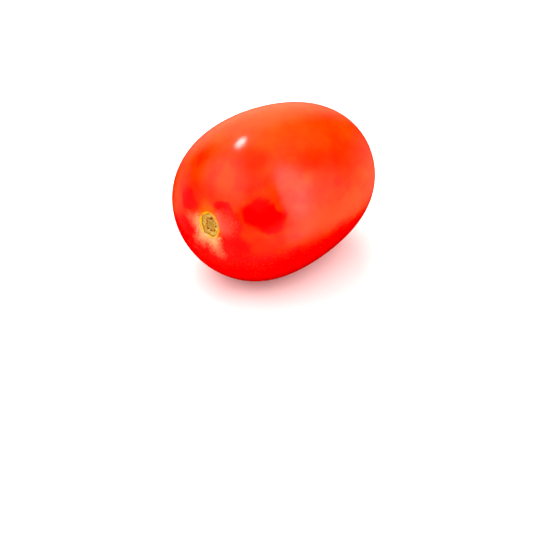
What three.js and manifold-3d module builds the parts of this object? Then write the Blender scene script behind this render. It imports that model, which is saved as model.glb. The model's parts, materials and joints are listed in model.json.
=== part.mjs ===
// A ripe plum tomato, picked, lying on its side on a small flat spot.
// Millimetres, +Z up. The stem end points to -X and the blossom end to +X.
// The fruit grew as one piece, so it is one closed solid: a long, blunt, faintly
// three-sided body with the corky scar of its stem at one end and the small dry
// scar of its flower at the other.

import * as THREE from 'three';
import { mergeVertices } from 'three/addons/utils/BufferGeometryUtils.js';
import Module from 'manifold-3d';

// Body
const HALF_LENGTH = 35.1;      // along the axis, before the stem end sinks in
const HALF_WIDTH = 27.0;       // mean half width at the middle
const STEM_FULLNESS = 1.41;    // how much fuller the stem half is than the other
const END_BLUNTNESS = 1.38;    // how much both ends are squared off
const LOBE_COUNT = 3;          // one faint side for each seed chamber
const LOBE_HEIGHT = 0.0271;    // of the half width
const LOBE_TURN = -23.3;       // degrees from the far side, positive upwards
const BEND = 2.1;              // how far both ends curve towards the near side
const LEAN = 4.8;              // degrees that the stem end is lifted at rest
const REST_CUT = 0.3;          // depth of the flat spot that the fruit lies on

// Stem end
const BASIN_DEPTH = 2.0;       // the stem end sinks in by this much at the axis
const BASIN_WIDTH = 9.0;       // radius at which the basin has mostly faded
const BASIN_TILT = 0.057;      // the basin faces a little to the near side
const SCAR_RADIUS = 3.7;
const SCAR_OFFSET = 0.79;      // scar centre, from the axis to the near side
const SCAR_RECESS = 0.3;       // cork lies this much under the skin beside it
const EDGE_WAVES = [           // the scar's lobed edge, as shares of its radius
  { count: 5, height: 0.05, turn: 20 },
  { count: 8, height: 0.03, turn: 75 },
];
const COLLAR_HEIGHT = 0.22;    // soft swelling of the skin around the scar
const COLLAR_WIDTH = 0.22;     // as a share of the scar's radius
const PLUG_HEIGHT = 0.25;      // corky middle, where the stem's core tore off
const PLUG_RADIUS = 0.36;      // as a share of the scar's radius
const PIT_COUNT = 9;           // sap vessels, in a ring around the plug
const PIT_RING = 0.56;         // as a share of the scar's radius
const PIT_DEPTH = 0.35;
const PIT_WIDTH = 0.1;         // as a share of the scar's radius
const RAY_COUNT = 5;           // low ridges that run out from the scar
const RAY_HEIGHT = 0.16;
const RAY_RADIUS = 8.0;        // where the ridges are highest
const RAY_SPREAD = 3.2;
const RAY_TURN = 12;           // degrees

// Blossom end
const TIP_HEIGHT = 0.7;        // low point that the fruit ends in
const TIP_WIDTH = 4.2;
const TIP_SCAR_RADIUS = 0.9;
const TIP_SCAR_DEPTH = 0.4;

// Facets
const AROUND = 80;
const SCAR_RINGS = 14;
const BODY_RINGS = 34;
const TIP_RINGS = 6;
const SCAR_REACH = 0.16;       // radians from the stem pole that the scar takes
const TIP_REACH = 0.09;        // radians from the blossom pole
const RING_CROWDING = 0.6;     // how much closer the body's rings stand at its ends

const DEGREE = Math.PI / 180;

function bump(distance, width) {
  return Math.exp(-((distance / width) ** 2));
}

function evenSteps(from, to, count) {
  return Array.from({ length: count }, (_, i) => from + ((to - from) * i) / count);
}

function crowdedSteps(from, to, count) {
  const turn = 2 * Math.PI;
  return evenSteps(0, 1, count).map(
    (share) => from + (to - from) * (share - (RING_CROWDING * Math.sin(turn * share)) / turn),
  );
}

// Angles along the fruit at which its rings of vertices lie, 0 at the stem pole
const RING_ANGLES = [
  ...evenSteps(0, SCAR_REACH, SCAR_RINGS),
  ...crowdedSteps(SCAR_REACH, Math.PI - TIP_REACH, BODY_RINGS),
  ...evenSteps(Math.PI - TIP_REACH, Math.PI, TIP_RINGS),
  Math.PI,
];

// Distance of the skin from the fruit's long axis
function girth(along, around) {
  const round = HALF_WIDTH * Math.sin(along)
    + STEM_FULLNESS * Math.sin(2 * along)
    + END_BLUNTNESS * Math.sin(3 * along);
  const lobe = Math.cos(LOBE_COUNT * (around - LOBE_TURN * DEGREE));
  return round * (1 + LOBE_HEIGHT * lobe * Math.sin(along));
}

// Radius of the scar's lobed edge in one direction
function scarEdge(around) {
  const waves = EDGE_WAVES.map(
    ({ count, height, turn }) => height * Math.cos(count * (around - turn * DEGREE)),
  );
  return SCAR_RADIUS * (1 + waves.reduce((sum, wave) => sum + wave, 0));
}

// Height of the cork above the bare basin: sunken disc, plug, and ring of pits
function corkRelief(share, around) {
  const step = THREE.MathUtils.smoothstep(share, 0.86, 1.0);
  const plug = PLUG_HEIGHT * bump(share, PLUG_RADIUS);
  const ring = bump(share - PIT_RING, PIT_WIDTH);
  const vessels = 0.5 + 0.5 * Math.cos(PIT_COUNT * around);
  return (1 - step) * (plug - SCAR_RECESS - PIT_DEPTH * ring * vessels);
}

// How far the stem end stands out past the bare basin, near the scar
function stemRelief(y, z) {
  const fromScar = Math.hypot(y + SCAR_OFFSET, z);
  const around = Math.atan2(z, y + SCAR_OFFSET);
  const share = fromScar / scarEdge(around);
  const collar = COLLAR_HEIGHT * bump(share - 1.2, COLLAR_WIDTH);
  const ridge = 0.5 + 0.5 * Math.cos(RAY_COUNT * (around - RAY_TURN * DEGREE));
  const rays = RAY_HEIGHT * ridge * bump(fromScar - RAY_RADIUS, RAY_SPREAD);
  return corkRelief(share, around) + collar + rays;
}

function stemEnd(x, y, z) {
  const basin = (BASIN_DEPTH + BASIN_TILT * y) * bump(Math.hypot(y, z), BASIN_WIDTH);
  return x + basin - stemRelief(y, z);
}

function blossomEnd(x, y, z) {
  const fromAxis = Math.hypot(y, z);
  const tip = TIP_HEIGHT * bump(fromAxis, TIP_WIDTH);
  return x + tip - TIP_SCAR_DEPTH * bump(fromAxis, TIP_SCAR_RADIUS);
}

// One point of the skin, from its angle along the fruit and its angle around it
function skinPoint(along, around) {
  const radius = girth(along, around);
  const y = radius * Math.cos(around);
  const z = radius * Math.sin(around);
  const plainX = -HALF_LENGTH * Math.cos(along);
  const x = along < Math.PI / 2 ? stemEnd(plainX, y, z) : blossomEnd(plainX, y, z);
  return new THREE.Vector3(x, y - BEND * Math.cos(along) ** 2, z);
}

// A sphere's grid of vertices, each moved onto the skin, with seam and poles closed
function skinGeometry() {
  const geometry = new THREE.SphereGeometry(1, AROUND, RING_ANGLES.length - 1);
  const { position } = geometry.attributes;
  const columns = AROUND + 1;
  for (let i = 0; i < position.count; i += 1) {
    const along = RING_ANGLES[Math.floor(i / columns)];
    const column = (i % columns) % AROUND;
    const point = skinPoint(along, (-column / AROUND) * 2 * Math.PI);
    position.setXYZ(i, point.x, point.y, point.z);
  }
  geometry.deleteAttribute('normal');
  geometry.deleteAttribute('uv');
  geometry.rotateY(LEAN * DEGREE);
  return mergeVertices(geometry);
}

// Everything below the height `top`, as a slab wider than the fruit
function slabUnder(top) {
  const size = 4 * HALF_LENGTH;
  const slab = new THREE.BoxGeometry(size, size, size);
  slab.translate(0, 0, top - size / 2);
  slab.deleteAttribute('normal');
  slab.deleteAttribute('uv');
  return mergeVertices(slab);
}

const wasm = await Module();
wasm.setup();

function toSolid(geometry) {
  return new wasm.Manifold(new wasm.Mesh({
    numProp: 3,
    vertProperties: new Float32Array(geometry.attributes.position.array),
    triVerts: new Uint32Array(geometry.index.array),
  }));
}

function toGeometry(solid) {
  const mesh = solid.getMesh();
  const geometry = new THREE.BufferGeometry();
  geometry.setAttribute('position', new THREE.BufferAttribute(mesh.vertProperties, 3));
  geometry.setIndex(new THREE.BufferAttribute(mesh.triVerts, 1));
  return geometry;
}

// Cuts the flat spot that the fruit lies on
function cutRestSpot(skin) {
  skin.computeBoundingBox();
  const floor = skin.boundingBox.min.z + REST_CUT;
  return toGeometry(toSolid(skin).subtract(toSolid(slabUnder(floor))));
}

// Puts the origin under the middle of the fruit, on the surface that it lies on
function standOnOrigin(geometry) {
  geometry.computeBoundingBox();
  const { min, max } = geometry.boundingBox;
  geometry.translate(-(min.x + max.x) / 2, -(min.y + max.y) / 2, -min.z);
  geometry.computeVertexNormals();
  return geometry;
}

const ripeSkin = new THREE.MeshStandardMaterial({
  name: 'tomato_skin',
  color: '#f0300f',
  roughness: 0.28,
  metalness: 0,
});

const tomato = new THREE.Mesh(standOnOrigin(cutRestSpot(skinGeometry())), ripeSkin);
tomato.name = 'tomato';

const part = new THREE.Group();
part.name = 'plum_tomato';
part.add(tomato);

export default part;
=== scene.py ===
# %% [markdown]
# A ripe plum tomato
#
# This notebook dresses one picked plum tomato. The solid model gives its size and place, and
# everything here is worked out from that frame. The fruit grew as one piece, so it stays one
# closed mesh: a long, blunt body with a corky scar where the stem was and a small dry scar
# where the flower was. The steps are the body's rule as Geometry Nodes, the finishes, and
# then the floor, the lights and the camera.

# %% Load the fixed model
import json
import math

import bpy
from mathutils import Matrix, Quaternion, Vector

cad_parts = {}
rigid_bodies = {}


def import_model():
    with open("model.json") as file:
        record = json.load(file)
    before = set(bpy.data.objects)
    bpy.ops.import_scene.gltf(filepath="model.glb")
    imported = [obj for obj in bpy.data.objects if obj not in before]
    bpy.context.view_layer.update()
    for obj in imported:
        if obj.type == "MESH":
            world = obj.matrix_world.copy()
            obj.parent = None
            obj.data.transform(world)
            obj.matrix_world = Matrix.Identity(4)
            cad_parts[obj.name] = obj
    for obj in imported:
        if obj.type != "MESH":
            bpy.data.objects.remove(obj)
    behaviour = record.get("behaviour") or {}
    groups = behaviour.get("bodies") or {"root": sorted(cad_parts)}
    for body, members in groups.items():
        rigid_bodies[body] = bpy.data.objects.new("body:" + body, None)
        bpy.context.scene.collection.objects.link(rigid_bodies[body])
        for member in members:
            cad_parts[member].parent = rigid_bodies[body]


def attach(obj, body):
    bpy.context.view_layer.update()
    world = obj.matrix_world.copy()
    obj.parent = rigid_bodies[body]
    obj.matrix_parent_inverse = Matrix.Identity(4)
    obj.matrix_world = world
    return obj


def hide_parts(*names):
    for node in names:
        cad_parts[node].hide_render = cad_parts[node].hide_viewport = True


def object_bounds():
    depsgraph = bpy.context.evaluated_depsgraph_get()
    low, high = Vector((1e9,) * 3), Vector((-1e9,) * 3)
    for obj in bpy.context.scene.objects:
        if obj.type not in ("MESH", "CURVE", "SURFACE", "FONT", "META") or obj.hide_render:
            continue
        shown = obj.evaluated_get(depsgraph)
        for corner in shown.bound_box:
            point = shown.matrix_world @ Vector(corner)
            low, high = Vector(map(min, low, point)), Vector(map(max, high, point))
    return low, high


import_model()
cad_low, cad_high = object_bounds()
print("Solid model, mm:", [round(1000 * side, 1) for side in cad_high - cad_low])

# %% [markdown]
# Nodes are added by one small function, for shapes and for finishes alike. It takes the
# node's kind, what goes into its inputs, and its settings. A value that is a node or an
# output becomes a link, and anything else is typed into the input.

# %% A helper that adds one node
def add_node(tree, kind, inputs=None, **settings):
    node = tree.nodes.new(kind)
    for name, setting in settings.items():
        setattr(node, name, setting)
    for key, value in (inputs or {}).items():
        source = value.outputs[0] if isinstance(value, bpy.types.Node) else value
        if isinstance(source, bpy.types.NodeSocket):
            tree.links.new(source, node.inputs[key])
        else:
            node.inputs[key].default_value = source
    return node


MATH = "ShaderNodeMath"
VECTOR_MATH = "ShaderNodeVectorMath"
RANGE = "ShaderNodeMapRange"
NOISE = "ShaderNodeTexNoise"
GROUP = "GeometryNodeGroup"
SOFT = "SMOOTHSTEP"
MM = 0.001

# %% [markdown]
# Two rules come up again and again in the fruit's shape, so each becomes a small node group.
# A bell is a soft bump that fades with distance: it makes the basin, the swelling round the
# scar and the tip. A wave goes up and down a whole number of times round the fruit: it
# makes the three faint sides, the scar's lobed edge and the ring of sap vessels. A curve
# drawn by hand would also do, but a rule keeps the numbers of the solid model.

# %% Node groups: a bell and a wave
def new_group(name, inputs, output):
    tree = bpy.data.node_groups.new(name, "GeometryNodeTree")
    for label, value in inputs.items():
        socket = tree.interface.new_socket(label, in_out="INPUT", socket_type="NodeSocketFloat")
        socket.default_value = value
    tree.interface.new_socket(output, in_out="OUTPUT", socket_type="NodeSocketFloat")
    return tree, add_node(tree, "NodeGroupInput").outputs


def make_bell_group():
    tree, given = new_group("bell", {"Distance": 0.0, "Width": 1.0}, "Height")
    share = add_node(tree, MATH, {0: given["Distance"], 1: given["Width"]}, operation="DIVIDE")
    square = add_node(tree, MATH, {0: share, 1: share}, operation="MULTIPLY")
    fall = add_node(tree, MATH, {0: square, 1: -1.0}, operation="MULTIPLY")
    height = add_node(tree, MATH, {0: fall}, operation="EXPONENT")
    add_node(tree, "NodeGroupOutput", {0: height})
    return tree


def make_wave_group():
    tree, given = new_group("wave", {"Angle": 0.0, "Count": 3.0, "Turn": 0.0, "Height": 1.0}, "Wave")
    turn = add_node(tree, MATH, {0: given["Turn"]}, operation="RADIANS")
    from_turn = add_node(tree, MATH, {0: given["Angle"], 1: turn}, operation="SUBTRACT")
    phase = add_node(tree, MATH, {0: from_turn, 1: given["Count"]}, operation="MULTIPLY")
    swing = add_node(tree, MATH, {0: phase}, operation="COSINE")
    wave = add_node(tree, MATH, {0: swing, 1: given["Height"]}, operation="MULTIPLY")
    add_node(tree, "NodeGroupOutput", {0: wave})
    return tree


BELL = make_bell_group()
WAVE = make_wave_group()
print("Node groups:", BELL.name, "and", WAVE.name)

# %% [markdown]
# The body is a flat grid that a rule wraps into a fruit. One side of the grid runs along the
# fruit, from the stem end at 0 to the blossom end at 1, and the other runs once round it.
# The tree has a named input for each size, in the millimetres of the solid model, and its
# last step turns them into metres. What one step works out and a later one needs is kept in
# a dictionary of node outputs.

# %% The body's sizes, in millimetres and degrees
SIZES = {
    "Half Length": 35.1, "Half Width": 27.0, "Stem Fullness": 1.41, "End Bluntness": 1.38,
    "Lobe Height": 0.0271, "Lobe Turn": -23.3, "Bend": 2.1, "Lean": 4.8, "Rest Cut": 0.3,
    "Basin Depth": 2.0, "Basin Width": 9.0, "Basin Tilt": 0.057,
    "Scar Radius": 3.7, "Scar Offset": 0.79, "Scar Recess": 0.3, "Collar Height": 0.22,
    "Plug Height": 0.25, "Pit Depth": 0.35, "Ray Height": 0.16,
    "Tip Height": 0.7, "Tip Width": 4.2, "Tip Scar Radius": 0.9, "Tip Scar Depth": 0.4,
}
COUNTS = {"Rings": 300, "Columns": 300, "Seed": 7}


def new_body_tree():
    tree = bpy.data.node_groups.new("plum tomato", "GeometryNodeTree")
    for label, value in {**SIZES, **COUNTS}.items():
        kind = "NodeSocketInt" if label in COUNTS else "NodeSocketFloat"
        tree.interface.new_socket(label, in_out="INPUT", socket_type=kind).default_value = value
    for label in ("Skin", "Cork"):
        tree.interface.new_socket(label, in_out="INPUT", socket_type="NodeSocketMaterial")
    tree.interface.new_socket("Fruit", in_out="OUTPUT", socket_type="NodeSocketGeometry")
    return tree, add_node(tree, "NodeGroupInput").outputs


body_tree, size = new_body_tree()
made = {}
print("The body's rule takes", len(SIZES), "sizes")

# %% [markdown]
# First the grid and its two angles. The rings have to stand closer at both ends, where the
# scars need fine steps. More rings everywhere would do it too, but they would be wasted on
# the smooth middle. Adding a sine to the even steps crowds them at the ends, which is the
# same trick as easing in and out of a movement.

# %% Grid, and the angles along and around the fruit
RING_CROWDING = 0.85


def add_angles(tree, given, made):
    columns = add_node(tree, MATH, {0: given["Columns"], 1: 1.0})
    rings = add_node(tree, MATH, {0: given["Rings"], 1: 1.0})
    made["grid"] = add_node(tree, "GeometryNodeMeshGrid", {
        "Size X": 1.0, "Size Y": 1.0, "Vertices X": columns, "Vertices Y": rings,
    })
    place = add_node(tree, "GeometryNodeInputPosition")
    shares = add_node(tree, VECTOR_MATH, {0: place, 1: (0.5, 0.5, 0.0)})
    shares = add_node(tree, "ShaderNodeSeparateXYZ", {0: shares}).outputs
    made["around"] = add_node(tree, MATH, {0: shares["X"], 1: math.tau}, operation="MULTIPLY")
    phase = add_node(tree, MATH, {0: shares["Y"], 1: math.tau}, operation="MULTIPLY")
    ease = add_node(tree, MATH, {0: phase}, operation="SINE")
    crowded = add_node(tree, MATH, {0: ease, 1: -RING_CROWDING / math.tau, 2: shares["Y"]},
                       operation="MULTIPLY_ADD")
    made["along"] = add_node(tree, MATH, {0: crowded, 1: math.pi}, operation="MULTIPLY")


add_angles(body_tree, size, made)
print("Grid:", COUNTS["Columns"], "columns by", COUNTS["Rings"], "rings")

# %% [markdown]
# The girth at an angle a along the fruit is the sum of three sines, of a, 2a and 3a: the
# plain oval, a fuller stem half, and blunter ends. One vector node takes all three sines,
# and a dot product adds them up by their sizes. A plum tomato has two or three chambers of
# seeds inside, which push the skin out a little, so a wave of three swells the middle.

# %% The plain body: girth, sides and length
CHAMBERS = 3


def add_body(tree, given, made):
    threes = add_node(tree, VECTOR_MATH, {0: (1.0, 2.0, 3.0), "Scale": made["along"]}, operation="SCALE")
    sines = add_node(tree, VECTOR_MATH, {0: threes}, operation="SINE")
    weights = add_node(tree, "ShaderNodeCombineXYZ", {
        "X": given["Half Width"], "Y": given["Stem Fullness"], "Z": given["End Bluntness"],
    })
    girth = add_node(tree, VECTOR_MATH, {0: sines, 1: weights}, operation="DOT_PRODUCT")
    side = add_node(tree, GROUP, {
        "Angle": made["around"], "Count": CHAMBERS, "Turn": given["Lobe Turn"],
        "Height": given["Lobe Height"],
    }, node_tree=WAVE)
    middle = add_node(tree, MATH, {0: made["along"]}, operation="SINE")
    swell = add_node(tree, MATH, {0: side, 1: middle, 2: 1.0}, operation="MULTIPLY_ADD")
    radius = add_node(tree, MATH, {0: girth.outputs["Value"], 1: swell}, operation="MULTIPLY")
    across = add_node(tree, MATH, {0: made["around"]}, operation="COSINE")
    upward = add_node(tree, MATH, {0: made["around"]}, operation="SINE")
    lengthwise = add_node(tree, MATH, {0: made["along"]}, operation="COSINE")
    reach = add_node(tree, MATH, {0: lengthwise, 1: given["Half Length"]}, operation="MULTIPLY")
    made["radius"] = radius
    made["lengthwise"] = lengthwise
    made["x"] = add_node(tree, MATH, {0: reach, 1: -1.0}, operation="MULTIPLY")
    made["y"] = add_node(tree, MATH, {0: radius, 1: across}, operation="MULTIPLY")
    made["z"] = add_node(tree, MATH, {0: radius, 1: upward}, operation="MULTIPLY")
    made["plain"] = add_node(tree, "ShaderNodeCombineXYZ", {0: made["x"], 1: made["y"], 2: made["z"]})


add_body(body_tree, size, made)
print("Plain body:", 2 * SIZES["Half Length"], "by", 2 * SIZES["Half Width"], "mm")

# %% [markdown]
# The stem end sinks into a shallow basin, and in its middle sits the scar, a disc of cork
# with a lobed edge. Its place is measured from the scar's own centre, as a distance and an
# angle, and the distance is divided by the lobed edge's radius. That share is 1 on the edge,
# whatever the lobes do, so every ring of the scar follows them.

# %% Distance, angle and share of the way from the scar's centre to its edge
EDGE_WAVES = ((5, 20.0, 0.05), (8, 75.0, 0.03))      # count, turn in degrees, share of the radius


def add_scar_map(tree, given, made):
    beside = add_node(tree, MATH, {0: made["y"], 1: given["Scar Offset"]})
    place = add_node(tree, "ShaderNodeCombineXYZ", {"X": beside, "Y": made["z"]})
    distance = add_node(tree, VECTOR_MATH, {0: place}, operation="LENGTH").outputs["Value"]
    angle = add_node(tree, MATH, {0: made["z"], 1: beside}, operation="ARCTAN2")
    edge = 1.0
    for count, turn, height in EDGE_WAVES:
        wave = add_node(tree, GROUP, {"Angle": angle, "Count": count, "Turn": turn, "Height": height},
                        node_tree=WAVE)
        edge = add_node(tree, MATH, {0: wave, 1: edge})
    edge = add_node(tree, MATH, {0: edge, 1: given["Scar Radius"]}, operation="MULTIPLY")
    made["scar distance"] = distance
    made["scar angle"] = angle
    made["scar share"] = add_node(tree, MATH, {0: distance, 1: edge}, operation="DIVIDE")


add_scar_map(body_tree, size, made)
print("Scar:", 2 * SIZES["Scar Radius"], "mm across")

# %% [markdown]
# The stem broke off here, so the disc is torn cork: a raised plug in the middle, where the
# stem's core was, and round it a broken ring of pits, where the sap vessels tore. An even
# ring of holes would look drilled. So one noise pushes the ring in and out and another
# opens some pits and closes others. Fine cracks between the dried cells come from Voronoi
# cells, and a last noise is the grain. How torn a point is goes to the material as well.

# %% Cork: plug, torn pits, cracks and grain
PLUG_WIDTH = 0.36                                     # shares of the scar's radius
PIT_RING, PIT_WIDTH, PIT_WANDER = 0.56, 0.08, 0.5
PIT_COUNT, PIT_LOSS, PIT_SWING = 9, 1.5, 2.0
PIT_WANDER_SCALE, PIT_LOSS_SCALE = 0.7, 0.45          # per mm
CRACK_SPACING, CRACK_WIDTH, CRACK_DEPTH = 0.8, 0.07, 0.07     # mm, share of a cell, mm
GRAIN_SIZE, GRAIN_HEIGHT = 0.45, 0.12                 # mm
CRACK_SHADE = 0.3                                     # how dark a crack is beside a pit
CORK_STEP = (0.86, 1.0)


def add_pits(tree, given, made):
    wander = add_node(tree, NOISE, {
        "Vector": made["plain"], "W": given["Seed"], "Scale": PIT_WANDER_SCALE, "Detail": 2.0,
    }, noise_dimensions="4D")
    off = add_node(tree, MATH, {0: wander, 1: PIT_WANDER, 2: -PIT_WANDER / 2 - PIT_RING},
                   operation="MULTIPLY_ADD")
    from_ring = add_node(tree, MATH, {0: made["scar share"], 1: off})
    ring = add_node(tree, GROUP, {"Distance": from_ring, "Width": PIT_WIDTH}, node_tree=BELL)
    turned = add_node(tree, MATH, {0: wander, 1: PIT_SWING, 2: made["scar angle"]},
                      operation="MULTIPLY_ADD")
    vessels = add_node(tree, GROUP, {"Angle": turned, "Count": PIT_COUNT, "Height": 0.5}, node_tree=WAVE)
    loss = add_node(tree, NOISE, {
        "Vector": made["plain"], "W": given["Seed"], "Scale": PIT_LOSS_SCALE,
    }, noise_dimensions="4D")
    kept = add_node(tree, MATH, {0: loss, 1: PIT_LOSS, 2: 0.5 - PIT_LOSS / 2}, operation="MULTIPLY_ADD")
    open_share = add_node(tree, MATH, {0: vessels, 1: kept}, use_clamp=True)
    return add_node(tree, MATH, {0: ring, 1: open_share}, operation="MULTIPLY")


def add_cork(tree, given, made):
    plug = add_node(tree, GROUP, {"Distance": made["scar share"], "Width": PLUG_WIDTH}, node_tree=BELL)
    raised = add_node(tree, MATH, {0: plug, 1: given["Plug Height"]}, operation="MULTIPLY")
    height = add_node(tree, MATH, {0: raised, 1: given["Scar Recess"]}, operation="SUBTRACT")
    pits = add_pits(tree, given, made)
    hollow = add_node(tree, MATH, {0: pits, 1: given["Pit Depth"]}, operation="MULTIPLY")
    height = add_node(tree, MATH, {0: height, 1: hollow}, operation="SUBTRACT")
    cells = add_node(tree, "ShaderNodeTexVoronoi", {
        "Vector": made["plain"], "W": given["Seed"], "Scale": 1 / CRACK_SPACING,
    }, voronoi_dimensions="4D", feature="DISTANCE_TO_EDGE")
    crack = add_node(tree, GROUP, {"Distance": cells, "Width": CRACK_WIDTH}, node_tree=BELL)
    height = add_node(tree, MATH, {0: crack, 1: -CRACK_DEPTH, 2: height}, operation="MULTIPLY_ADD")
    grain = add_node(tree, NOISE, {
        "Vector": made["plain"], "W": given["Seed"], "Scale": 1 / GRAIN_SIZE, "Detail": 3.0,
    }, noise_dimensions="4D")
    height = add_node(tree, MATH, {0: grain, 1: GRAIN_HEIGHT, 2: height}, operation="MULTIPLY_ADD")
    height = add_node(tree, MATH, {0: height, 1: GRAIN_HEIGHT / 2}, operation="SUBTRACT")
    low, high = CORK_STEP
    inside = add_node(tree, RANGE, {
        "Value": made["scar share"], "From Min": low, "From Max": high, "To Min": 1.0, "To Max": 0.0,
    }, interpolation_type=SOFT)
    made["cork"] = add_node(tree, MATH, {0: height, 1: inside}, operation="MULTIPLY")
    made["torn"] = add_node(tree, MATH, {0: crack, 1: CRACK_SHADE, 2: pits}, operation="MULTIPLY_ADD")


add_cork(body_tree, size, made)
print("Cork:", PIT_COUNT, "sap vessels, some of them closed")

# %% [markdown]
# Round the scar the skin swells into a soft collar, and five low ridges run out from it,
# where the green leaves of the stem pressed on the young fruit. At the other end the fruit
# runs out into a low point with the dry dot of the flower, and faint creases pucker the skin
# round it. All of these only move the skin along the fruit's axis, so they are sums of bells
# and waves, and nothing has to be modelled on top.

# %% Both ends: basin, collar and ridges at the stem, tip at the blossom
COLLAR_AT, COLLAR_WIDTH = 1.2, 0.22                   # shares of the scar's radius
RAYS, RAY_TURN, RAY_AT, RAY_WIDTH = 5, 12.0, 8.0, 3.2      # count, degrees, mm
PUCKERS, PUCKER_AT, PUCKER_WIDTH, PUCKER_HEIGHT = 7, 1.9, 1.1, 0.05      # count, mm


def add_stem_end(tree, given, made):
    basin = add_node(tree, GROUP, {"Distance": made["radius"], "Width": given["Basin Width"]},
                     node_tree=BELL)
    depth = add_node(tree, MATH, {0: given["Basin Tilt"], 1: made["y"], 2: given["Basin Depth"]},
                     operation="MULTIPLY_ADD")
    x = add_node(tree, MATH, {0: basin, 1: depth, 2: made["x"]}, operation="MULTIPLY_ADD")
    x = add_node(tree, MATH, {0: x, 1: made["cork"]}, operation="SUBTRACT")
    from_collar = add_node(tree, MATH, {0: made["scar share"], 1: -COLLAR_AT})
    collar = add_node(tree, GROUP, {"Distance": from_collar, "Width": COLLAR_WIDTH}, node_tree=BELL)
    collar = add_node(tree, MATH, {0: collar, 1: given["Collar Height"]}, operation="MULTIPLY")
    x = add_node(tree, MATH, {0: x, 1: collar}, operation="SUBTRACT")
    ridge = add_node(tree, GROUP, {
        "Angle": made["scar angle"], "Count": RAYS, "Turn": RAY_TURN, "Height": 0.5,
    }, node_tree=WAVE)
    ridge = add_node(tree, MATH, {0: ridge, 1: 0.5})
    from_rays = add_node(tree, MATH, {0: made["scar distance"], 1: -RAY_AT})
    fade = add_node(tree, GROUP, {"Distance": from_rays, "Width": RAY_WIDTH}, node_tree=BELL)
    rays = add_node(tree, MATH, {0: ridge, 1: fade}, operation="MULTIPLY")
    rays = add_node(tree, MATH, {0: rays, 1: given["Ray Height"]}, operation="MULTIPLY")
    made["stem x"] = add_node(tree, MATH, {0: x, 1: rays}, operation="SUBTRACT")


def add_blossom_end(tree, given, made):
    tip = add_node(tree, GROUP, {"Distance": made["radius"], "Width": given["Tip Width"]}, node_tree=BELL)
    x = add_node(tree, MATH, {0: tip, 1: given["Tip Height"], 2: made["x"]}, operation="MULTIPLY_ADD")
    dot = add_node(tree, GROUP, {"Distance": made["radius"], "Width": given["Tip Scar Radius"]},
                   node_tree=BELL)
    dent = add_node(tree, MATH, {0: dot, 1: given["Tip Scar Depth"]}, operation="MULTIPLY")
    x = add_node(tree, MATH, {0: x, 1: dent}, operation="SUBTRACT")
    crease = add_node(tree, GROUP, {
        "Angle": made["around"], "Count": PUCKERS, "Height": PUCKER_HEIGHT,
    }, node_tree=WAVE)
    from_crease = add_node(tree, MATH, {0: made["radius"], 1: -PUCKER_AT})
    fade = add_node(tree, GROUP, {"Distance": from_crease, "Width": PUCKER_WIDTH}, node_tree=BELL)
    made["blossom x"] = add_node(tree, MATH, {0: crease, 1: fade, 2: x}, operation="MULTIPLY_ADD")


add_stem_end(body_tree, size, made)
add_blossom_end(body_tree, size, made)
print("Ends:", RAYS, "ridges at the stem,", PUCKERS, "creases at the blossom")

# %% [markdown]
# Now the pieces of the rule meet in one Set Position node. After it the grid's two free
# edges touch along a seam and its ends have shrunk to points, so Merge by Distance closes
# them. Three attributes stay on the mesh for the finishes: the place in the fruit's own axes
# before it bends and leans, the share of the way to the scar's edge, and how torn it is.

# %% Wrap the grid and close it
MERGE_DISTANCE = 0.0002      # mm: far less than any step of the grid
FAR_FROM_SCAR = 99.0         # the scar's share on the blossom half, where there is no scar


def add_wrap(tree, given, made):
    is_stem = add_node(tree, "FunctionNodeCompare", {"A": made["along"], "B": math.pi / 2},
                       data_type="FLOAT", operation="LESS_THAN")
    x = add_node(tree, "GeometryNodeSwitch", {
        "Switch": is_stem, "False": made["blossom x"], "True": made["stem x"],
    }, input_type="FLOAT")
    square = add_node(tree, MATH, {0: made["lengthwise"], 1: made["lengthwise"]}, operation="MULTIPLY")
    bend = add_node(tree, MATH, {0: square, 1: given["Bend"]}, operation="MULTIPLY")
    y = add_node(tree, MATH, {0: made["y"], 1: bend}, operation="SUBTRACT")
    own = add_node(tree, "ShaderNodeCombineXYZ", {"X": x, "Y": made["y"], "Z": made["z"]})
    bent = add_node(tree, "ShaderNodeCombineXYZ", {"X": x, "Y": y, "Z": made["z"]})
    mesh = add_node(tree, "GeometryNodeStoreNamedAttribute", {
        "Geometry": made["grid"], "Name": "fruit", "Value": own,
    }, data_type="FLOAT_VECTOR", domain="POINT")
    share = add_node(tree, "GeometryNodeSwitch", {
        "Switch": is_stem, "False": FAR_FROM_SCAR, "True": made["scar share"],
    }, input_type="FLOAT")
    for name, value in (("scar_share", share), ("torn", made["torn"])):
        mesh = add_node(tree, "GeometryNodeStoreNamedAttribute", {
            "Geometry": mesh, "Name": name, "Value": value,
        }, data_type="FLOAT", domain="POINT")
    wrapped = add_node(tree, "GeometryNodeSetPosition", {"Geometry": mesh, "Position": bent})
    return add_node(tree, "GeometryNodeMergeByDistance", {
        "Geometry": wrapped, "Distance": MERGE_DISTANCE,
    })


wrapped_mesh = add_wrap(body_tree, size, made)
print("Wrapped, with points closer than", MERGE_DISTANCE, "mm merged")

# %% [markdown]
# A ripe fruit lies on a small flat spot. The whole body is leaned, and every point below
# the spot's height is raised to it, which is simpler than a Boolean and leaves no hole to
# close. Then the fruit is set down on the origin, in the middle of its own box.

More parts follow.
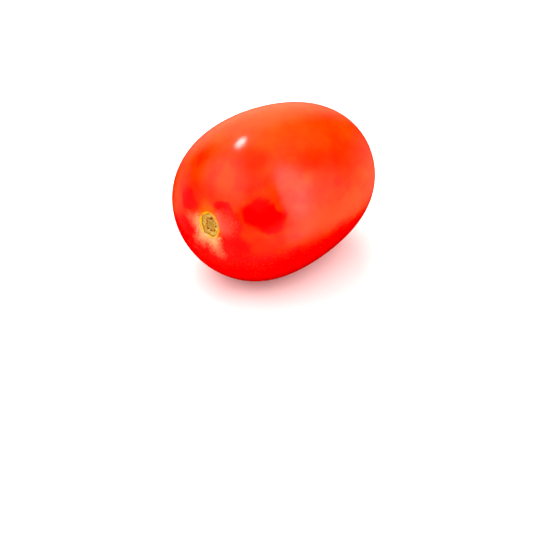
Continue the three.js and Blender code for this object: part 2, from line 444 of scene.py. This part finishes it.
# %% Lean, flatten and set down
def add_rest(tree, given, mesh):
    lean = add_node(tree, MATH, {0: given["Lean"]}, operation="RADIANS")
    turn = add_node(tree, "ShaderNodeCombineXYZ", {"Y": lean})
    leaned = add_node(tree, "GeometryNodeTransform", {"Geometry": mesh, "Rotation": turn})
    box = add_node(tree, "GeometryNodeBoundBox", {"Geometry": leaned}).outputs
    lowest = add_node(tree, "ShaderNodeSeparateXYZ", {0: box["Min"]})
    floor = add_node(tree, MATH, {0: lowest.outputs["Z"], 1: given["Rest Cut"]})
    place = add_node(tree, "GeometryNodeInputPosition")
    at = add_node(tree, "ShaderNodeSeparateXYZ", {0: place}).outputs
    raised = add_node(tree, MATH, {0: at["Z"], 1: floor}, operation="MAXIMUM")
    flat = add_node(tree, "ShaderNodeCombineXYZ", {"X": at["X"], "Y": at["Y"], "Z": raised})
    rested = add_node(tree, "GeometryNodeSetPosition", {"Geometry": leaned, "Position": flat})
    ends = add_node(tree, VECTOR_MATH, {0: box["Min"], 1: box["Max"]})
    middle = add_node(tree, VECTOR_MATH, {0: ends, 1: (0.5, 0.5, 0.0)}, operation="MULTIPLY")
    under = add_node(tree, "ShaderNodeCombineXYZ", {"Z": floor})
    foot = add_node(tree, VECTOR_MATH, {0: middle, 1: under})
    shift = add_node(tree, VECTOR_MATH, {0: foot, "Scale": -1.0}, operation="SCALE")
    stood = add_node(tree, "GeometryNodeTransform", {"Geometry": rested, "Translation": shift})
    return add_node(tree, "GeometryNodeTransform", {"Geometry": stood, "Scale": (MM, MM, MM)})


stood_mesh = add_rest(body_tree, size, wrapped_mesh)
print("Leaned", SIZES["Lean"], "degrees and flattened", SIZES["Rest Cut"], "mm deep")

# %% [markdown]
# Skin covers everything but the scar. The scar's faces are those whose share is below 1, so
# the same lobed edge that shapes the cork also parts the two materials.

# %% Shade smooth and give each part its material
def add_finish(tree, given, mesh):
    smooth = add_node(tree, "GeometryNodeSetShadeSmooth", {"Geometry": mesh})
    real = add_node(tree, "GeometryNodeRealizeInstances", {"Geometry": smooth})
    skinned = add_node(tree, "GeometryNodeSetMaterial", {"Geometry": real, "Material": given["Skin"]})
    share = add_node(tree, "GeometryNodeInputNamedAttribute", {"Name": "scar_share"}, data_type="FLOAT")
    is_cork = add_node(tree, "FunctionNodeCompare", {"A": share, "B": 1.0},
                       data_type="FLOAT", operation="LESS_THAN")
    corked = add_node(tree, "GeometryNodeSetMaterial", {
        "Geometry": skinned, "Selection": is_cork, "Material": given["Cork"],
    })
    add_node(tree, "NodeGroupOutput", {0: corked})


add_finish(body_tree, size, stood_mesh)
print("The body's tree has", len(body_tree.nodes), "nodes")

# %% [markdown]
# The tree needs an object to run on, so an empty seedling carries it as a modifier. A
# modifier's input is set by the socket's identifier, not by its name. The evaluated result
# becomes a plain mesh of its own, and the seedling goes.

# %% Grow the fruit and keep it as a plain mesh
def grow(tree, name, materials):
    seedling = bpy.data.objects.new("seedling", bpy.data.meshes.new("seedling"))
    bpy.context.scene.collection.objects.link(seedling)
    rule = seedling.modifiers.new("rule", "NODES")
    rule.node_group = tree
    sockets = {s.name: s.identifier for s in tree.interface.items_tree if s.in_out == "INPUT"}
    for label, value in {**SIZES, **COUNTS, **materials}.items():
        rule[sockets[label]] = value
    grown = seedling.evaluated_get(bpy.context.evaluated_depsgraph_get())
    mesh = bpy.data.meshes.new_from_object(grown)
    mesh.materials.pop(index=0)      # an empty slot that the bare grid starts with
    seedling.modifiers.remove(rule)
    bpy.data.objects.remove(seedling)
    piece = bpy.data.objects.new(name, mesh)
    mesh.name = name
    bpy.context.scene.collection.objects.link(piece)
    return piece


# %% [markdown]
# Colours are written as sRGB hex values, as a colour picker shows them, and one function
# turns them into the linear numbers that the renderer mixes.

# %% Colours
def linear(hex_colour):
    parts = [int(hex_colour[i:i + 2], 16) / 255 for i in (1, 3, 5)]
    return [c / 12.92 if c <= 0.04045 else ((c + 0.055) / 1.055) ** 2.4 for c in parts] + [1.0]


# painted shade: the deep red of the underside and of the shaded patches
PAINTED_SHADE_RED = linear("#f00000")
RED = linear("#f81c00")
ORANGE = linear("#f83e04")
# painted light: the orange that the upper side is painted, standing in for light from above
PAINTED_TOP_LIGHT = linear("#f84c06")
PEACH = linear("#f85a3c")
PINK = linear("#f8685c")
CREAM = linear("#f8a86c")
YELLOW = linear("#fcac00")
AMBER = linear("#fa6200")
FLECK = linear("#ff9a30")
TAN = linear("#ac7418")
STRAW = linear("#c09034")
PALE_STRAW = linear("#cea85a")
OLIVE = linear("#8a641c")
OCHRE = linear("#90480a")
BARK = linear("#80500e")
RUST = linear("#8a1c04")
DRY_BROWN = linear("#6e4018")
print("Ripe red, linear:", [round(part, 3) for part in RED])

# %% [markdown]
# Every finish starts from an empty tree with one shader, and builds its colour in layers. A
# layer lays one more colour over what is there. It comes in where some value passes from one
# limit to another, up to its strength, as paint does under a mask.

# %% A new material, and one more layer of colour
def start_material(name):
    material = bpy.data.materials.new(name)
    material.use_nodes = True
    tree = material.node_tree
    tree.nodes.clear()
    shader = add_node(tree, "ShaderNodeBsdfPrincipled")
    add_node(tree, "ShaderNodeOutputMaterial", {"Surface": shader})
    return material, tree, shader


def layer(tree, under, colour, value, limits=(0.0, 1.0), strength=1.0, ramp="LINEAR"):
    start, end = limits
    mask = add_node(tree, RANGE, {
        "Value": value, "From Min": start, "From Max": end, "To Max": strength,
    }, interpolation_type=ramp)
    mix = add_node(tree, "ShaderNodeMix", {"Factor": mask, 6: under, 7: colour}, data_type="RGBA")
    return mix.outputs[2]


# %% [markdown]
# A tomato doesn't redden evenly. The ground is a soft mottle of red and orange-red, drawn out
# along the fruit, of clouds about 10 mm long with finer ones inside them. The upper side is
# painted a little more orange, as painted light from above, and the underside is painted a
# deeper red up to a wandering line, as painted shade. A painted image would give the same, but
# noise in the fruit's own millimetres has no seam and keeps its scale.

# %% The skin's ground colours, with painted light above and painted shade below
MOTTLE_SIZE, MOTTLE_STRETCH, MOTTLE_SEED = 10.0, 0.7, 0.0
MOTTLE_RANGE = (0.36, 0.66)    # the noise's values from all red to all orange
# painted light: between these heights the upper side is painted more orange
UPPER_SIDE = (17.0, 27.0)      # mm: heights between which the red turns more orange
UPPER_SHARE = 0.35
# painted shade: below this wandering height the skin is painted a deeper red
UNDERSIDE_AT, UNDERSIDE_FADE, UNDERSIDE_WANDER = -4.8, 2.0, 5.5      # mm
UNDERSIDE_SCALE = 0.12         # per mm


def add_mottle_and_top_light(tree, place):
    stretched = add_node(tree, "ShaderNodeMapping", {
        "Vector": place, "Scale": (MOTTLE_STRETCH, 1.0, 1.0),
    })
    mottle = add_node(tree, NOISE, {
        "Vector": stretched, "W": MOTTLE_SEED, "Scale": 1 / MOTTLE_SIZE, "Detail": 5.0, "Roughness": 0.65,
    }, noise_dimensions="4D")
    colour = layer(tree, RED, ORANGE, mottle, MOTTLE_RANGE)
    height = add_node(tree, "ShaderNodeSeparateXYZ", {0: place}).outputs["Z"]
    # painted light: more orange towards the top
    return layer(tree, colour, PAINTED_TOP_LIGHT, height, UPPER_SIDE, UPPER_SHARE)


# The mask of the painted shade on the underside; the flecks are scattered in it too.
def add_shaded_underside(tree, place):
    height = add_node(tree, "ShaderNodeSeparateXYZ", {0: place}).outputs["Z"]
    wander = add_node(tree, NOISE, {"Vector": place, "Scale": UNDERSIDE_SCALE, "Detail": 3.0})
    height = add_node(tree, MATH, {0: wander, 1: UNDERSIDE_WANDER, 2: height}, operation="MULTIPLY_ADD")
    middle = UNDERSIDE_AT + UNDERSIDE_WANDER / 2
    return add_node(tree, RANGE, {
        "Value": height, "From Min": middle + UNDERSIDE_FADE, "From Max": middle - UNDERSIDE_FADE,
    }, interpolation_type=SOFT)


print("Ground: clouds of", MOTTLE_SIZE, "mm, deep red below", UNDERSIDE_AT, "mm from the axis")

# %% [markdown]
# Three kinds of patch lie on that ground. Soft clouds are redder or more orange than what is
# round them, and one long orange strip on the lower flank is a painted reflection of a band of
# light. Deep red patches, with harder edges, are painted shade: they stand in for shade and
# dark reflections round the scar and low on the side. Pale ones run out from the scar where
# the leaves of the stem kept the sun off: cream or pink beside the scar and peach further out.
# Each is a soft ball with its own centre, half sizes and turn, and its edge is pushed about by
# noise, so none looks round. A slow noise makes an edge wander, and a fine one gives the pale
# patches the grain of skin cells.

# %% Clouds, a painted reflection, painted shade patches and pale patches
CLOUDS_AND_PAINTED_LIGHT = (
    # colour, centre and half sizes in mm, turn in degrees about the upright axis, strength, edge
    (RED, (-22.0, -9.5, 20.5), (7.5, 6.0, 8.5), 0.0, 0.85, 0.9),
    (RED, (2.0, -18.0, 15.5), (15.0, 8.0, 7.0), 0.0, 0.5, 0.8),
    (RED, (-6.0, -23.0, 11.0), (7.0, 6.0, 5.0), 0.0, 0.5, 0.8),
    (RED, (-31.0, 11.0, 8.5), (6.0, 4.5, 6.0), 0.0, 0.6, 0.7),
    (RED, (-29.0, -18.0, -2.5), (8.0, 8.0, 5.0), 0.0, 0.8, 0.7),
    (ORANGE, (-30.0, -4.5, 15.5), (5.5, 4.5, 7.0), 0.0, 0.8, 0.7),
    (AMBER, (-33.0, 0.6, 4.0), (6.0, 6.0, 5.0), 0.0, 0.5, 1.0),
    (ORANGE, (-30.0, 5.0, 14.5), (5.5, 4.5, 6.0), 0.0, 0.6, 0.7),
    # painted reflection: this long orange strip on the lower flank stands in for a reflected band of
    # light
    (ORANGE, (-1.0, -25.0, 1.5), (27.0, 7.0, 5.0), 0.0, 0.65, 0.6),
    # painted shade: these deep red patches round the scar and low on the side stand in for shade and dark
    # reflections
    (PAINTED_SHADE_RED, (-27.0, -16.0, 7.4), (7.0, 8.0, 5.8), -42.0, 1.0, 0.3),
    (PAINTED_SHADE_RED, (-24.4, -18.3, 5.8), (6.0, 8.0, 5.0), -42.0, 1.0, 0.3),
    (PAINTED_SHADE_RED, (-32.6, 8.8, 4.4), (6.0, 4.2, 5.2), 0.0, 1.0, 0.45),
    (PAINTED_SHADE_RED, (-33.0, -5.4, 7.3), (6.0, 4.2, 3.2), 0.0, 1.0, 0.4),
    (PAINTED_SHADE_RED, (-33.0, -8.8, 2.4), (6.0, 5.6, 6.0), 0.0, 1.0, 0.5),
    (PAINTED_SHADE_RED, (-32.5, -9.0, -5.0), (6.0, 8.5, 7.5), 0.0, 1.0, 0.3),
    (PAINTED_SHADE_RED, (-32.0, 3.0, -7.5), (7.0, 18.0, 9.5), 0.0, 1.0, 0.4),
)
PALE_PATCHES = (
    # colour by the scar, centre and half sizes in mm, turn in degrees about the fruit's axis, strength
    (PINK, (-33.0, -6.6, 2.4), (6.0, 6.2, 5.6), 0.0, 0.4),
    (CREAM, (-33.0, 4.4, -1.2), (6.0, 5.2, 4.0), 0.0, 0.7),
    (CREAM, (-33.0, 1.8, -5.0), (6.0, 5.4, 4.6), -60.0, 0.85),
    (CREAM, (-33.0, -3.4, -6.0), (6.0, 6.4, 4.2), 46.0, 0.95),
)
PATCH_WANDER, PATCH_WANDER_SIZE = 6.0, 5.0      # mm
NEAR_SCAR = (2.2, 1.2)                          # shares of the scar's radius
PALE_EDGE, GRAIN_FADE = (0.02, 0.8), 0.2        # shares of a patch's middle
CELL_SIZE, CELL_SHARE = 0.5, 1.4                # mm, share of a pale patch's edge


def add_patch(tree, place, centre, half, turn):
    wander = add_node(tree, NOISE, {
        "Vector": place, "Scale": 1 / PATCH_WANDER_SIZE, "Detail": 3.0, "Roughness": 0.6,
    })
    off = add_node(tree, VECTOR_MATH, {0: wander.outputs["Color"], 1: (0.5, 0.5, 0.5)},
                   operation="SUBTRACT")
    moved = add_node(tree, VECTOR_MATH, {0: off, 1: (PATCH_WANDER,) * 3, 2: place},
                     operation="MULTIPLY_ADD")
    turned = [math.radians(angle) for angle in turn]
    within = add_node(tree, "ShaderNodeMapping", {
        "Vector": moved, "Location": centre, "Rotation": turned, "Scale": half,
    }, vector_type="TEXTURE")
    ball = add_node(tree, "ShaderNodeTexGradient", {"Vector": within}, gradient_type="SPHERICAL")
    return ball.outputs["Fac"]


def add_clouds_and_painted_light(tree, colour, place):
    for paint, centre, half, turn, strength, edge in CLOUDS_AND_PAINTED_LIGHT:
        ball = add_patch(tree, place, centre, half, (0.0, 0.0, turn))
        colour = layer(tree, colour, paint, ball, (0.0, edge), strength, SOFT)
    return colour


def add_pale_patches(tree, colour, place, share):
    cells = add_node(tree, NOISE, {"Vector": place, "Scale": 1 / CELL_SIZE, "Detail": 2.0})
    grain = add_node(tree, MATH, {0: cells, 1: CELL_SHARE, 2: -CELL_SHARE / 2},
                     operation="MULTIPLY_ADD")
    for near_colour, centre, half, turn, strength in PALE_PATCHES:
        ball = add_patch(tree, place, centre, half, (turn, 0.0, 0.0))
        inside = add_node(tree, RANGE, {"Value": ball, "From Max": GRAIN_FADE})
        rough = add_node(tree, MATH, {0: grain, 1: inside, 2: ball}, operation="MULTIPLY_ADD")
        pale = layer(tree, PEACH, near_colour, share, NEAR_SCAR)
        colour = layer(tree, colour, pale, rough, PALE_EDGE, strength, SOFT)
    return colour


print("Patches:", len(CLOUDS_AND_PAINTED_LIGHT), "on the ground colours,", len(PALE_PATCHES), "pale ones by the scar")

# %% [markdown]
# Beside the cork the skin is stretched thin, which shows as a yellow line with an amber glow
# round it. The line is drawn round and the cork's edge is lobed, so the line's width is
# uneven. The golden flecks on the underside are probably specks of salt under the skin. A
# real one should be under 0.1 mm across, too fine to show here, so they are drawn coarser.
# At the other end the flower left a dry brown dot, and the skin round it is amber and
# slightly creased.

# %% Rim, flecks and blossom end
FLECK_SPACING, FLECK_RADIUS, FLECK_STRENGTH = 0.8, 0.12, 0.2      # mm, share
FLECK_EDGE = (1.6, 0.6)                         # shares of a fleck's radius
LINE_WIDTH, LINE_WANDER = (1.17, 1.0), 0.5      # shares of the scar's radius
GLOW_RING = (1.9, 1.0)                          # the same
LINE_STRENGTH, GLOW_STRENGTH = 0.88, 0.5
LINE_WANDER_SCALE, DOT_WANDER_SCALE = 0.4, 1.0  # per mm
DOT_RADIUS, DOT_EDGE, DOT_WANDER, TIP_GLOW = 0.65, 0.3, 1.1, 3.4      # mm


# How far a point is from the scar's middle, in scar radii. Half of the lobed share is a lower
# limit, which only counts on the blossom half, where it keeps both rings away.
def add_round_share(tree, place, share):
    middle = (0.0, SIZES["Scar Offset"], 0.0)
    off = add_node(tree, VECTOR_MATH, {0: place, 1: middle})
    flat = add_node(tree, VECTOR_MATH, {0: off, 1: (0.0, 1.0, 1.0)}, operation="MULTIPLY")
    distance = add_node(tree, VECTOR_MATH, {0: flat}, operation="LENGTH").outputs["Value"]
    rounded = add_node(tree, MATH, {0: distance, 1: SIZES["Scar Radius"]}, operation="DIVIDE")
    limit = add_node(tree, MATH, {0: share, 1: 0.5}, operation="MULTIPLY")
    wander = add_node(tree, NOISE, {"Vector": place, "Scale": LINE_WANDER_SCALE, "Detail": 2.0})
    kept = add_node(tree, MATH, {0: rounded, 1: limit}, operation="MAXIMUM")
    pushed = add_node(tree, MATH, {0: wander, 1: LINE_WANDER, 2: kept}, operation="MULTIPLY_ADD")
    return add_node(tree, MATH, {0: pushed, 1: LINE_WANDER / 2}, operation="SUBTRACT")


def add_flecks(tree, colour, place, where):
    cells = add_node(tree, "ShaderNodeTexVoronoi", {"Vector": place, "Scale": 1 / FLECK_SPACING})
    outer, inner = [share * FLECK_RADIUS / FLECK_SPACING for share in FLECK_EDGE]
    dot = add_node(tree, RANGE, {
        "Value": cells.outputs["Distance"], "From Min": outer, "From Max": inner,
        "To Max": FLECK_STRENGTH,
    })
    mask = add_node(tree, MATH, {0: dot, 1: where}, operation="MULTIPLY")
    return layer(tree, colour, FLECK, mask)


def add_blossom_dot(tree, place):
    parts = add_node(tree, "ShaderNodeSeparateXYZ", {0: place}).outputs
    flat = add_node(tree, "ShaderNodeCombineXYZ", {"Y": parts["Y"], "Z": parts["Z"]})
    radius = add_node(tree, VECTOR_MATH, {0: flat}, operation="LENGTH").outputs["Value"]
    wander = add_node(tree, NOISE, {"Vector": place, "Scale": DOT_WANDER_SCALE, "Detail": 2.0})
    radius = add_node(tree, MATH, {0: wander, 1: DOT_WANDER, 2: radius}, operation="MULTIPLY_ADD")
    radius = add_node(tree, MATH, {0: radius, 1: DOT_WANDER / 2}, operation="SUBTRACT")
    at_tip = add_node(tree, MATH, {0: parts["X"], 1: 0.0}, operation="GREATER_THAN")
    dot = add_node(tree, RANGE, {
        "Value": radius, "From Min": DOT_RADIUS + DOT_EDGE, "From Max": DOT_RADIUS, "To Max": at_tip,
    }, interpolation_type=SOFT)
    glow = add_node(tree, RANGE, {
        "Value": radius, "From Min": TIP_GLOW, "From Max": DOT_RADIUS, "To Max": at_tip,
    })
    return dot, glow


print("Flecks: one in about every", FLECK_SPACING, "mm, on the underside")

# %% [markdown]
# The skin is a thin, clear wax over red flesh: a ripe tomato's skin, grown and not made. The
# wax is smooth, so lights show in it as soft-edged pictures, and it is a little duller in
# some places than in others. A faint ripple of 1.6 mm, a hundredth of a millimetre high,
# breaks the edges of those pictures up. Light goes a little way into the flesh, red
# furthest, which softens the shadows.

# %% Skin
WAX_DULLNESS = (0.15, 0.21)                  # roughness
BLOOM_SIZE, BLOOM_RANGE = 6.0, (0.3, 0.7)    # mm: size of the duller places; the noise's values
RIPPLE_SIZE, RIPPLE_HEIGHT = 1.6, 0.012      # mm
DOT_ROUGHNESS = 0.8
FLESH_DEPTH = 4.0                            # mm


def add_surface(tree, shader, place, dot):
    ripple = add_node(tree, NOISE, {"Vector": place, "Scale": 1 / RIPPLE_SIZE, "Detail": 2.0})
    bump = add_node(tree, "ShaderNodeBump", {"Height": ripple, "Distance": RIPPLE_HEIGHT * MM})
    tree.links.new(bump.outputs["Normal"], shader.inputs["Normal"])
    bloom = add_node(tree, NOISE, {"Vector": place, "Scale": 1 / BLOOM_SIZE, "Detail": 4.0})
    low, high = BLOOM_RANGE
    clear, dull = WAX_DULLNESS
    wax = add_node(tree, RANGE, {
        "Value": bloom, "From Min": low, "From Max": high, "To Min": clear, "To Max": dull,
    })
    rough = add_node(tree, "ShaderNodeMix", {"Factor": dot, "A": wax, "B": DOT_ROUGHNESS})
    tree.links.new(rough.outputs[0], shader.inputs["Roughness"])


def make_skin():
    material, tree, shader = start_material("waxy_ripe_skin")
    place = add_node(tree, "ShaderNodeAttribute", attribute_name="fruit").outputs["Vector"]
    share = add_node(tree, "ShaderNodeAttribute", attribute_name="scar_share").outputs["Fac"]
    underside = add_shaded_underside(tree, place)
    # painted shade: a deeper red on the underside
    colour = layer(tree, add_mottle_and_top_light(tree, place), PAINTED_SHADE_RED, underside)
    colour = add_clouds_and_painted_light(tree, colour, place)
    colour = add_flecks(tree, colour, place, underside)
    round_share = add_round_share(tree, place, share)
    colour = layer(tree, colour, AMBER, round_share, GLOW_RING, GLOW_STRENGTH, SOFT)
    colour = add_pale_patches(tree, colour, place, share)
    colour = layer(tree, colour, YELLOW, round_share, LINE_WIDTH, LINE_STRENGTH, SOFT)
    dot, glow = add_blossom_dot(tree, place)
    colour = layer(tree, colour, AMBER, glow)
    colour = layer(tree, colour, DRY_BROWN, dot)
    tree.links.new(colour, shader.inputs["Base Color"])
    add_surface(tree, shader, place, dot)
    shader.inputs["IOR"].default_value = 1.42
    shader.inputs["Subsurface Weight"].default_value = 0.12
    shader.inputs["Subsurface Radius"].default_value = (1.0, 0.25, 0.1)
    shader.inputs["Subsurface Scale"].default_value = FLESH_DEPTH * MM
    return material


skin = make_skin()
print("Skin:", skin.name, "with", len(skin.node_tree.nodes), "nodes")

# %% [markdown]
# The scar is cork: dead, dried cells, straw-coloured and quite matt, as where a twig broke
# off. It is olive brown towards the middle, where it is thickest. The rim is a darker bark
# brown, cracks have gone ochre, and the torn sap vessels are a dark, rusty red. The masks
# come from the attributes of the shape, so every dark pit in the colour is a real pit.

# %% Cork
CORK_GRAIN = 1.0                             # mm
STRAW_RANGE = (0.36, 0.5)                    # the grain's values from tan to straw
PALE_RANGE = (0.46, 0.62)                    # and from straw to pale straw
CORK_MIDDLE, CORK_RIM = (0.6, 0.2), (0.88, 0.98)     # shares of the scar's radius
CRACK_RANGE, PIT_RANGE = (0.08, 0.3), (0.3, 0.6)     # how torn
MIDDLE_SHADE, RIM_SHADE, CRACK_STAIN = 0.6, 0.85, 0.3


def make_cork():
    material, tree, shader = start_material("dry_stem_cork")
    place = add_node(tree, "ShaderNodeAttribute", attribute_name="fruit").outputs["Vector"]
    share = add_node(tree, "ShaderNodeAttribute", attribute_name="scar_share").outputs["Fac"]
    torn = add_node(tree, "ShaderNodeAttribute", attribute_name="torn").outputs["Fac"]
    grain = add_node(tree, NOISE, {
        "Vector": place, "Scale": 1 / CORK_GRAIN, "Detail": 4.0, "Roughness": 0.7,
    })
    colour = layer(tree, TAN, STRAW, grain, STRAW_RANGE)
    colour = layer(tree, colour, PALE_STRAW, grain, PALE_RANGE)
    colour = layer(tree, colour, OLIVE, share, CORK_MIDDLE, MIDDLE_SHADE)
    colour = layer(tree, colour, BARK, share, CORK_RIM, RIM_SHADE, SOFT)
    colour = layer(tree, colour, OCHRE, torn, CRACK_RANGE, CRACK_STAIN)
    colour = layer(tree, colour, RUST, torn, PIT_RANGE)
    tree.links.new(colour, shader.inputs["Base Color"])
    shader.inputs["Roughness"].default_value = 0.8
    shader.inputs["Specular IOR Level"].default_value = 0.15
    return material


cork = make_cork()
print("Cork:", cork.name, "with", len(cork.node_tree.nodes), "nodes")

# %% [markdown]
# Both finishes are ready, so the tree can grow the fruit. The mesh then takes the place of
# the solid model's node, which is hidden: it rides on the one body of the frame.

# %% Grow the dressed fruit and fix it to the frame
fruit = grow(body_tree, "whole_fruit", {"Skin": skin, "Cork": cork})
print("Grown:", len(fruit.data.vertices), "points and", len(fruit.data.polygons), "faces,",
      [round(1000 * side, 2) for side in fruit.dimensions], "mm")
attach(fruit, "root")
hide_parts("tomato")

# %% [markdown]
# The fruit lies on a round white card, as in a photographer's light tent. The card bounces
# light up onto the underside, but it is left out of the gloss: its picture in the wax would
# wash out the deep red of the underside.

# %% Floor
FLOOR_RADIUS, FLOOR_SIDES = 0.6, 64      # m, count


def make_floor():
    mesh = bpy.data.meshes.new("floor")
    steps = [math.tau * i / FLOOR_SIDES for i in range(FLOOR_SIDES)]
    ring = [(FLOOR_RADIUS * math.cos(a), FLOOR_RADIUS * math.sin(a), 0.0) for a in steps]
    mesh.from_pydata(ring, [], [range(FLOOR_SIDES)])
    floor = bpy.data.objects.new("floor", mesh)
    material, tree, shader = start_material("matt_white_card")
    shader.inputs["Base Color"].default_value = linear("#fcfcfa")
    shader.inputs["Roughness"].default_value = 0.9
    mesh.materials.append(material)
    floor.visible_glossy = False
    bpy.context.scene.collection.objects.link(floor)


make_floor()
print("Floor: a round card,", 2 * FLOOR_RADIUS, "m across")

# %% [markdown]
# Two kinds of light fall on the fruit. One small lamp high behind makes the hard white
# highlight, and a tall soft window at the right front, brighter in its middle, makes the
# pale glow in the wax. Wide fills from above and from all sides light the colours evenly, and
# don't show in the gloss. Lamps are placed by their direction from the fruit's middle,
# because that decides where a highlight falls.

# %% Lamps
BODY_OFFSET = Vector((-0.88, -0.16, -1.29))      # mm: plain body's middle, from the box's
BODY_CENTRE = (cad_low + cad_high) / 2 + BODY_OFFSET * MM


def direction(azimuth, elevation):
    azimuth, elevation = math.radians(azimuth), math.radians(elevation)
    return Vector((math.sin(azimuth) * math.cos(elevation),
                   -math.cos(azimuth) * math.cos(elevation), math.sin(elevation)))


def add_softbox(name, azimuth, elevation, distance, width, height, power, shows_in_gloss=True, roll=0.0):
    light = bpy.data.lights.new(name, "AREA")
    light.shape = "ELLIPSE"
    light.size, light.size_y, light.energy = width, height, power
    lamp = bpy.data.objects.new(name, light)
    toward = direction(azimuth, elevation)
    lamp.location = BODY_CENTRE + toward * distance
    rolled = Quaternion((0.0, 0.0, 1.0), math.radians(roll))
    lamp.rotation_euler = (toward.to_track_quat("Z", "Y") @ rolled).to_euler()
    lamp.visible_glossy = shows_in_gloss
    bpy.context.scene.collection.objects.link(lamp)
    return lamp


# Azimuth and elevation in degrees, then distance, width and height in m, then watts
add_softbox("key", 165.0, 63.0, 0.6, 0.2, 0.1, 1.15, roll=25.0)
add_softbox("window", 24.0, 21.0, 0.8, 0.56, 0.92, 1.5)
add_softbox("window_core", 22.0, 22.0, 0.8, 0.42, 0.66, 0.7)
add_softbox("sky_fill", 0.0, 90.0, 1.3, 2.2, 2.2, 12.0, shows_in_gloss=False)
add_softbox("front_fill", -50.0, 35.0, 1.2, 2.0, 1.2, 8.5, shows_in_gloss=False)
add_softbox("right_fill", 60.0, 35.0, 1.2, 1.6, 1.2, 5.0, shows_in_gloss=False)
add_softbox("left_fill", -140.0, 35.0, 1.2, 1.6, 1.2, 5.0, shows_in_gloss=False)
add_softbox("back_fill", 150.0, 45.0, 1.0, 1.0, 1.0, 9.0, shows_in_gloss=False)
print("Lamps:", [lamp.name for lamp in bpy.data.lights])

# %% [markdown]
# What isn't lamp is room: a world that is nearly dark ahead and brighter overhead. In it hang
# soft glows, each a direction with a spread and a level. They show in the wax as pale areas
# without an edge, which an area lamp can't give. The ones behind and low at the right are a
# little warm. Far below, a table that no light reaches ends them, so nothing pales the deep red
# that is painted on the underside as shade. The camera itself sees plain white behind the
# card. Last, light that is fainter than a small level is cut to black, as a camera's picture
# does, so the deep red stays pure.

# %% World and picture
BACKDROP = "#ffffff"
BLACK_LEVEL = 0.007      # linear
ROOM_LEVELS = ((-0.05, 0.0), (0.0, 0.02), (0.4, 0.02), (0.75, 0.15))      # height, level
TABLE_EDGE = (-0.66, -0.46)                                               # height
WHITE, WARM = (1.0, 1.0, 1.0), (1.0, 0.95, 0.6)
GLOWS = (
    # azimuth, elevation, degrees from there where it starts to fade and where it ends, level, tint
    (-112.0, 34.0, 7.0, 47.0, 1.0, WHITE),
    (140.0, 14.0, 8.0, 42.0, 0.75, WARM),
    (76.0, -24.0, 8.0, 36.0, 0.45, WARM),
    (-172.0, -18.0, 6.0, 24.0, 0.2, WHITE),
    (40.0, 3.0, 8.0, 21.0, 0.65, WHITE),
    (24.0, 48.0, 4.0, 22.0, 0.5, WHITE),
    (24.0, -18.0, 4.0, 24.0, 0.9, WHITE),
    (10.0, -38.0, 10.0, 55.0, 0.28, WHITE),
)


def add_room(tree, place):
    height = add_node(tree, "ShaderNodeSeparateXYZ", {0: place}).outputs["Z"]
    share = add_node(tree, MATH, {0: height, 1: 0.5, 2: 0.5}, operation="MULTIPLY_ADD")
    ramp = add_node(tree, "ShaderNodeValToRGB", {"Fac": share})
    stops = ramp.color_ramp.elements
    for _ in ROOM_LEVELS[2:]:
        stops.new(0.5)
    for stop, (at, level) in zip(stops, ROOM_LEVELS):
        stop.position = 0.5 + 0.5 * at
        stop.color = (level, level, level, 1.0)
    return ramp, height


def add_glow(tree, place, azimuth, elevation, near, far, level, tint):
    middle = direction(azimuth, elevation)
    toward = add_node(tree, VECTOR_MATH, {0: place, 1: middle}, operation="DOT_PRODUCT")
    share = add_node(tree, RANGE, {
        "Value": toward.outputs["Value"], "From Min": math.cos(math.radians(far)),
        "From Max": math.cos(math.radians(near)), "To Max": level,
    }, interpolation_type=SOFT)
    return add_node(tree, VECTOR_MATH, {0: tint, "Scale": share}, operation="SCALE")


def make_world():
    world = bpy.data.worlds.new("studio_room")
    world.use_nodes = True
    tree = world.node_tree
    tree.nodes.clear()
    place = add_node(tree, "ShaderNodeTexCoord").outputs["Generated"]
    level, height = add_room(tree, place)
    for glow in GLOWS:
        level = add_node(tree, VECTOR_MATH, {0: level, 1: add_glow(tree, place, *glow)})
    dark, clear = TABLE_EDGE
    above = add_node(tree, RANGE, {"Value": height, "From Min": dark, "From Max": clear},
                     interpolation_type=SOFT)
    level = add_node(tree, VECTOR_MATH, {0: level, "Scale": above}, operation="SCALE")
    seen = add_node(tree, "ShaderNodeLightPath").outputs["Is Camera Ray"]
    level = layer(tree, level, linear(BACKDROP), seen)
    background = add_node(tree, "ShaderNodeBackground", {"Color": level})
    add_node(tree, "ShaderNodeOutputWorld", {"Surface": background})
    bpy.context.scene.world = world


make_world()
view = bpy.context.scene.view_settings
view.view_transform = "Standard"
view.use_curve_mapping = True
view.curve_mapping.black_level = (BLACK_LEVEL,) * 3
view.curve_mapping.update()
print("World:", len(GLOWS), "glows")

# %% [markdown]
# The camera looks from the stem end's near side, 31 degrees down, with a long lens at 0.8 m.
# Its aim lies beside and below the fruit, so the fruit sits right of the middle and high up
# in the picture.

# %% Camera
AZIMUTH, ELEVATION = -48.9, 31.2
DISTANCE = 0.8         # m
FOCAL_PX = 2566.4      # focal length, in pixels of the picture
IMAGE_PX, SENSOR_MM = 533, 36.0
AIM_RIGHT, AIM_UP = -2.67, -24.89      # mm, from the body's middle in the picture plane


def place_camera():
    azimuth = math.radians(AZIMUTH)
    right = Vector((math.cos(azimuth), math.sin(azimuth), 0.0))
    back = direction(AZIMUTH, ELEVATION)
    up = back.cross(right)
    aim = BODY_CENTRE + (right * AIM_RIGHT + up * AIM_UP) * MM
    data = bpy.data.cameras.new("camera")
    data.lens = FOCAL_PX * SENSOR_MM / IMAGE_PX
    data.sensor_width = SENSOR_MM
    camera = bpy.data.objects.new("camera", data)
    camera.location = BODY_CENTRE + back * DISTANCE
    camera.rotation_euler = (aim - camera.location).to_track_quat("-Z", "Y").to_euler()
    bpy.context.scene.collection.objects.link(camera)
    bpy.context.scene.camera = camera


place_camera()
print("Lens:", round(bpy.context.scene.camera.data.lens, 1), "mm")
